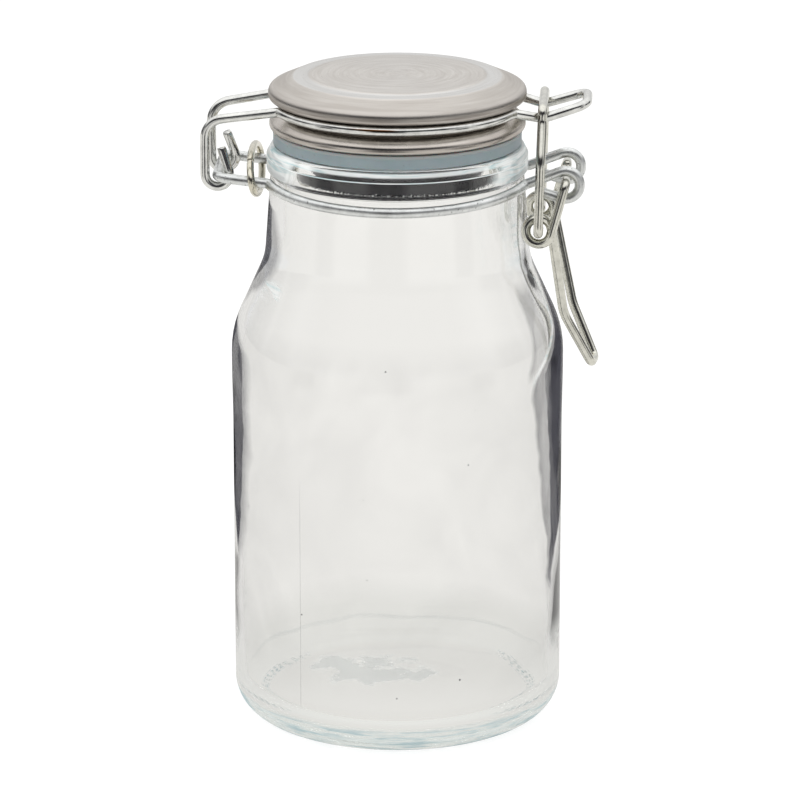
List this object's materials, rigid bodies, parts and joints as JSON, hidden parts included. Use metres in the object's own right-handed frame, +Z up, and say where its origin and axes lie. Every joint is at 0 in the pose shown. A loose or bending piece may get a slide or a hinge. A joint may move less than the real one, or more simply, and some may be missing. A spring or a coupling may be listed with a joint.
{
  "type": "glass canning jar",
  "caption": "Clear glass canning jar with a domed steel lid, rubber seal, wire bail hinge and over-centre lever latch.",
  "frame": {"origin": "on the table under the jar's axis, at the middle of the contact ring", "axes": "+Z up along the jar's axis, +X towards the latch lever, -X towards the hinge, -Y towards the front of the picture"},
  "size_m": [0.0981, 0.0824, 0.164],
  "materials": {
    "clear_glass": "clear pressed glass",
    "neck_wire_zinc": "dull galvanised wire",
    "clamp_zinc": "bright zinc, slightly yellow",
    "bail_zinc": "bright zinc wire",
    "lid_top_steel": "circular brushed stainless steel",
    "lid_base_steel": "spun stainless steel",
    "seal_silicone": "translucent grey silicone",
    "lever_zinc": "bright wire",
    "link_zinc": "bright wire"
  },
  "bodies": {
    "jar": {"glass_jar": "clear_glass", "neck_wire": "neck_wire_zinc", "clamp_ring": "clamp_zinc"},
    "bail": {"lid_bail": "bail_zinc"},
    "lid": {"lid_top": "lid_top_steel", "lid_base": "lid_base_steel", "lid_gasket": "seal_silicone"},
    "lever": {"latch_lever": "lever_zinc"},
    "link": {"latch_link": "link_zinc"}
  },
  "joints": [
    {"name": "latch_open", "type": "hinge", "parent": "jar", "child": "lever", "pos_m": [0.04157, 0, 0.1396], "axis": [0, -1, 0], "range_deg": [0, 150]},
    {"name": "link_swing", "type": "hinge", "parent": "lever", "child": "link", "pos_m": [0.03512, 0, 0.1279], "axis": [0, -1, 0], "range_deg": [-135, 0]},
    {"name": "lid_hinge", "type": "hinge", "parent": "jar", "child": "bail", "pos_m": [-0.04367, 0, 0.1403], "axis": [0, -1, 0], "range_deg": [0, 112.5]},
    {"name": "lid_spin", "type": "hinge", "parent": "bail", "child": "lid", "pos_m": [0, 0, 0.15667], "axis": [0, 0, 1], "continuous": true}
  ],
  "couplings": [
    {"joint": "link_swing", "follows": "latch_open", "ratio": -0.9},
    {"joint": "lid_hinge", "follows": "latch_open", "ratio": 0.75}
  ]
}
